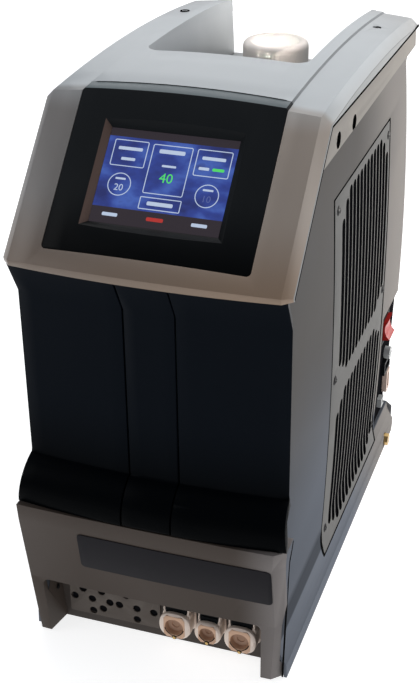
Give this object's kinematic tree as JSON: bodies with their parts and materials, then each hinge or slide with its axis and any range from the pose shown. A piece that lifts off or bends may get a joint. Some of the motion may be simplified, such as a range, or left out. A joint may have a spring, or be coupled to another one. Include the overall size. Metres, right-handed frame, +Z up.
{
  "type": "hot cold therapy machine",
  "caption": "Bench-top hot and cold therapy unit: slanted touch display, recessed filler cap, slotted side vents, latching hose couplings and a rear rocker switch.",
  "frame": {"origin": "middle of the footprint of the whole machine, on the surface that it stands on", "axes": "+Z up, -Y the way the display faces, +X to the right of someone who looks at the display"},
  "size_m": [0.1922, 0.3729, 0.391],
  "materials": {
    "shell_grey": "fine-grained moulded plastic, light grey",
    "bezel_black": "glossy black",
    "screen": "lit touch screen behind clear film",
    "module_grey": "plain",
    "panel_black": "satin black",
    "base_taupe": "fine-grained moulded plastic, taupe",
    "inner_dark": "black powder coat",
    "plate_dark": "matt dark grey",
    "coupling_cream": "natural acetal, cream",
    "latch_black": "black moulded plastic",
    "side_grey": "fine-grained moulded plastic, mid grey",
    "vent_light": "light grey powder coat",
    "skirt_beige": "moulded plastic, warm grey",
    "rocker_red": "red",
    "brass": "turned",
    "deck_grey": "moulded plastic, grey",
    "tank_plastic": "natural polyethylene",
    "rubber_black": "black rubber",
    "cap_white": "white moulded plastic",
    "sink_aluminium": "mill finish",
    "fan_black": "black glass-filled plastic",
    "ceramic_white": "ceramic",
    "steel": "plated sheet steel",
    "board_green": "solder resist",
    "pump_grey": "moulded plastic and motor can"
  },
  "bodies": {
    "machine": {"air_pump": "pump_grey", "base_front": "base_taupe", "base_tray": "inner_dark", "bleed_port": "skirt_beige", "cold_plate": "sink_aluminium", "control_board": "board_green", "coupling_1": "coupling_cream", "coupling_2": "coupling_cream", "coupling_3": "coupling_cream", "data_port": "latch_black", "display_bezel": "bezel_black", "display_glass": "screen", "display_module": "module_grey", "drain_fitting": "brass", "fan_frame_lower": "fan_black", "fan_frame_upper": "fan_black", "filler_deck": "deck_grey", "front_panel_centre": "panel_black", "front_panel_left": "panel_black", "front_panel_right": "panel_black", "fuse_holder": "latch_black", "heat_sink_lower": "sink_aluminium", "heat_sink_upper": "sink_aluminium", "inner_frame": "inner_dark", "mains_inlet": "latch_black", "name_plate": "panel_black", "port_plate": "plate_dark", "power_supply": "steel", "rear_cover": "side_grey", "rear_pocket": "inner_dark", "rear_skirt": "skirt_beige", "recess_wall": "inner_dark", "rubber_feet": "rubber_black", "service_port": "skirt_beige", "side_panel_left": "side_grey", "side_panel_right": "side_grey", "switch_housing": "latch_black", "thermoelectric_modules": "ceramic_white", "top_shell": "shell_grey", "vent_frame_left": "inner_dark", "vent_frame_right": "inner_dark", "vent_plate_left": "vent_light", "vent_plate_right": "vent_light", "water_pump": "pump_grey", "water_tank": "tank_plastic"},
    "latch_plate_1": {"latch_1": "latch_black"},
    "latch_plate_2": {"latch_2": "latch_black"},
    "latch_plate_3": {"latch_3": "latch_black"},
    "rocker": {"power_rocker": "rocker_red"},
    "cap_lift": {"cap_gasket": "rubber_black"},
    "cap": {"filler_cap": "cap_white"},
    "rotor_lower": {"fan_rotor_lower": "fan_black"},
    "rotor_upper": {"fan_rotor_upper": "fan_black"}
  },
  "joints": [
    {"name": "latch_press_1", "type": "slide", "parent": "machine", "child": "latch_plate_1", "axis": [0, 0, -1], "range_m": [0, 0.002], "stiffness_N_per_m": 400, "springref_m": -0.001},
    {"name": "latch_press_2", "type": "slide", "parent": "machine", "child": "latch_plate_2", "axis": [0, 0, -1], "range_m": [0, 0.002], "stiffness_N_per_m": 400, "springref_m": -0.001},
    {"name": "latch_press_3", "type": "slide", "parent": "machine", "child": "latch_plate_3", "axis": [0, 0, -1], "range_m": [0, 0.002], "stiffness_N_per_m": 400, "springref_m": -0.001},
    {"name": "power_rock", "type": "hinge", "parent": "machine", "child": "rocker", "pos_m": [0.08123, 0.14125, 0.119], "axis": [0, 1, 0], "range_deg": [0, 16]},
    {"name": "cap_rise", "type": "slide", "parent": "machine", "child": "cap_lift", "axis": [0, 0, 1], "range_m": [0, 0.0061]},
    {"name": "cap_turn", "type": "hinge", "parent": "cap_lift", "child": "cap", "pos_m": [0, 0.10225, 0.356], "axis": [0, 0, 1], "range_deg": [0, 540]},
    {"name": "fan_lower_spin", "type": "hinge", "parent": "machine", "child": "rotor_lower", "pos_m": [0.071, 0.04225, 0.08], "axis": [1, 0, 0], "continuous": true},
    {"name": "fan_upper_spin", "type": "hinge", "parent": "machine", "child": "rotor_upper", "pos_m": [0.071, 0.04225, 0.228], "axis": [1, 0, 0], "continuous": true}
  ],
  "couplings": [
    {"joint": "cap_rise", "follows": "cap_turn", "m_per_rad": 0.00063662}
  ]
}
